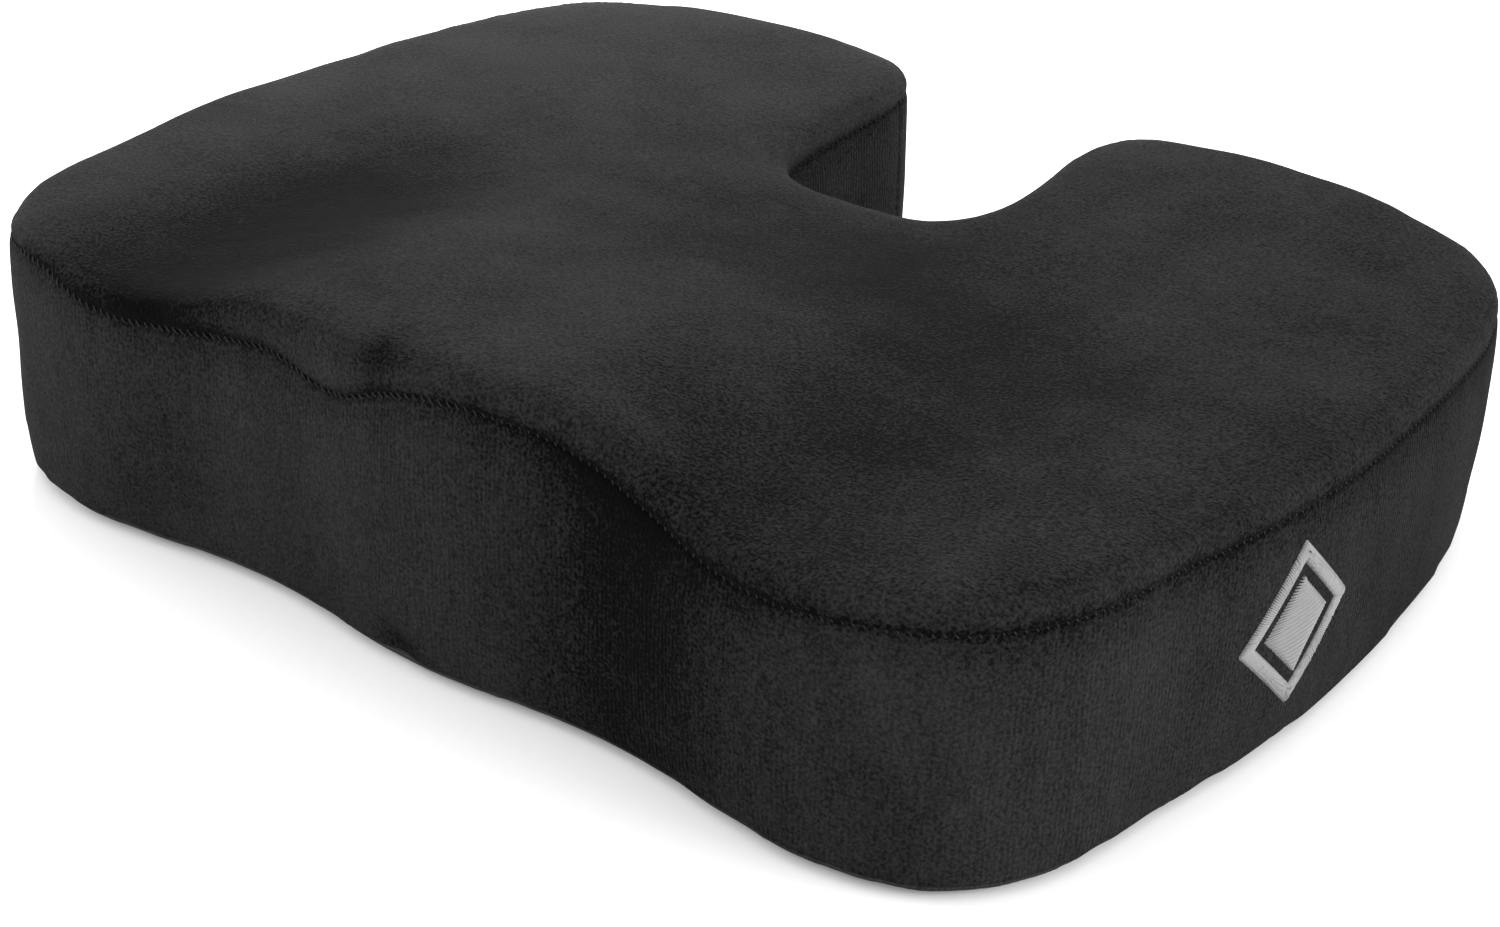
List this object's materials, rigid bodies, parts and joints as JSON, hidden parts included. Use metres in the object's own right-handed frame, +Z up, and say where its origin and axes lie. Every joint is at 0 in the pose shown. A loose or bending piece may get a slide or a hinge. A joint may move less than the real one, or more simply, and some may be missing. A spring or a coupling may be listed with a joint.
{
  "type": "seat cushion",
  "caption": "Contoured memory-foam seat cushion with tailbone cut-out, thigh grooves, zipped velour cover and non-slip base",
  "frame": {"origin": "Centre of the bounding box's bottom, on the face the cushion rests on", "axes": "+X towards the side that carries the motif, -Y towards the front (thigh) edge, +Y towards the open end of the tailbone cut-out, +Z up"},
  "size_m": [0.451, 0.3457, 0.108],
  "materials": {
    "foam": "open-cell viscoelastic polyurethane foam, moulded skin",
    "velour": "short dense velour pile, dark charcoal, soft sheen",
    "base_cloth": "woven polyester with raised silicone dots",
    "thread": "spun polyester sewing thread",
    "motif_thread": "satin-stitch embroidery in light grey rayon",
    "backing_cloth": "non-woven stiffener",
    "zip_tape": "woven herringbone tape",
    "zip_coil": "nylon monofilament",
    "zip_metal": "black enamelled zinc, worn at the edges"
  },
  "bodies": {
    "cushion": {"foam_core": "foam", "top_panel": "velour", "front_right_band": "velour", "rear_right_band": "velour", "cutout_band": "velour", "rear_left_band": "velour", "left_band_upper": "velour", "left_band_lower": "velour", "base_panel": "base_cloth", "top_seam_stitching": "thread", "base_seam_stitching": "thread", "join_stitching": "thread", "zip_stitching": "thread", "embroidered_motif": "motif_thread", "motif_backing": "backing_cloth", "zip_tape_upper": "zip_tape", "zip_tape_lower": "zip_tape", "zip_coil_upper": "zip_coil", "zip_coil_lower": "zip_coil", "zip_top_stops": "zip_metal", "zip_bottom_stop": "zip_metal"},
    "slider": {"zip_slider": "zip_metal"},
    "pull_tab": {"zip_pull_tab": "zip_metal"}
  },
  "joints": [
    {"name": "zip_slide", "type": "hinge", "parent": "cushion", "child": "slider", "pos_m": [0.275, 0.008, 0.042], "axis": [0, 0, 1], "range_deg": [0, 17.42]},
    {"name": "pull_flip", "type": "hinge", "parent": "slider", "child": "pull_tab", "pos_m": [-0.2182, 0.08254, 0.042], "axis": [0, 0, -1], "range_deg": [0, 160]}
  ]
}
